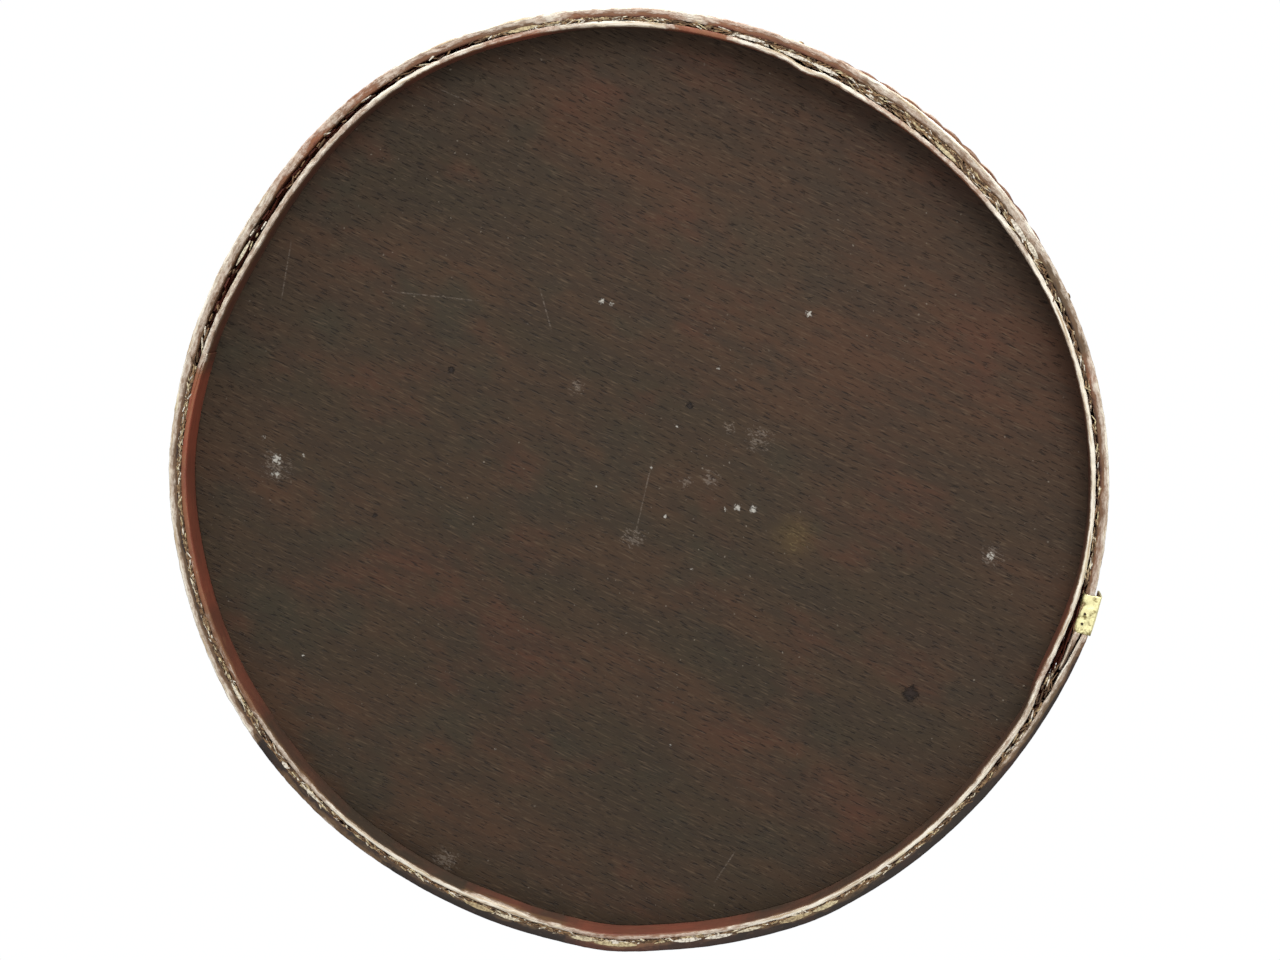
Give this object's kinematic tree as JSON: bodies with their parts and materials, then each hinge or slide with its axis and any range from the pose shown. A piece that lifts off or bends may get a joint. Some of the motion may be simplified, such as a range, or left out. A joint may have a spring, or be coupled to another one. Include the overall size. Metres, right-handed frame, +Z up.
{
  "type": "hat box",
  "caption": "Round hat box of lacquered woven bamboo clamped between bent hoops, with a recessed wooden bottom board, brass joint clip and a lift-off lid on a collar.",
  "frame": {"origin": "middle of the foot's lower edge, on the box's own axis", "axes": "+Z up along the box's axis, +X towards the joint of the outer hoops, where the brass clips are"},
  "size_m": [0.3658, 0.3658, 0.21],
  "materials": {
    "board_wood": "dark stained hardwood, worn and dusty, matt",
    "lacquered_hoop": "red-brown lacquer over a pale ground, chipped along the edges",
    "woven_bamboo": "split bamboo, woven and lacquered red-brown, worn on the high strands",
    "bamboo_pin": "bare split bamboo, cut flush",
    "clip_brass": "thin sheet brass, rubbed bright",
    "nail_brass": "dull small nail heads",
    "tack_iron": "dark iron tacks, flush"
  },
  "bodies": {
    "body": {"bottom_board": "board_wood", "foot_inner_hoop": "lacquered_hoop", "foot_outer_hoop": "lacquered_hoop", "foot_hoop_clip": "clip_brass", "foot_clip_tacks": "tack_iron", "foot_hoop_nails": "nail_brass", "bottom_board_pins": "bamboo_pin", "body_weave": "woven_bamboo", "mouth_outer_hoop": "lacquered_hoop", "mouth_collar": "lacquered_hoop", "mouth_hoop_nails": "nail_brass"},
    "lid": {"lid_board": "board_wood", "lid_top_inner_hoop": "lacquered_hoop", "lid_top_outer_hoop": "lacquered_hoop", "lid_hoop_clip": "clip_brass", "lid_clip_tacks": "tack_iron", "lid_top_hoop_nails": "nail_brass", "lid_board_pins": "bamboo_pin", "lid_weave": "woven_bamboo", "lid_skirt_outer_hoop": "lacquered_hoop", "lid_skirt_inner_hoop": "lacquered_hoop", "lid_skirt_nails": "nail_brass"}
  },
  "joints": [
    {"name": "lid_lift", "type": "slide", "parent": "body", "child": "lid", "axis": [0, 0, 1], "range_m": [0, 0.15]}
  ]
}
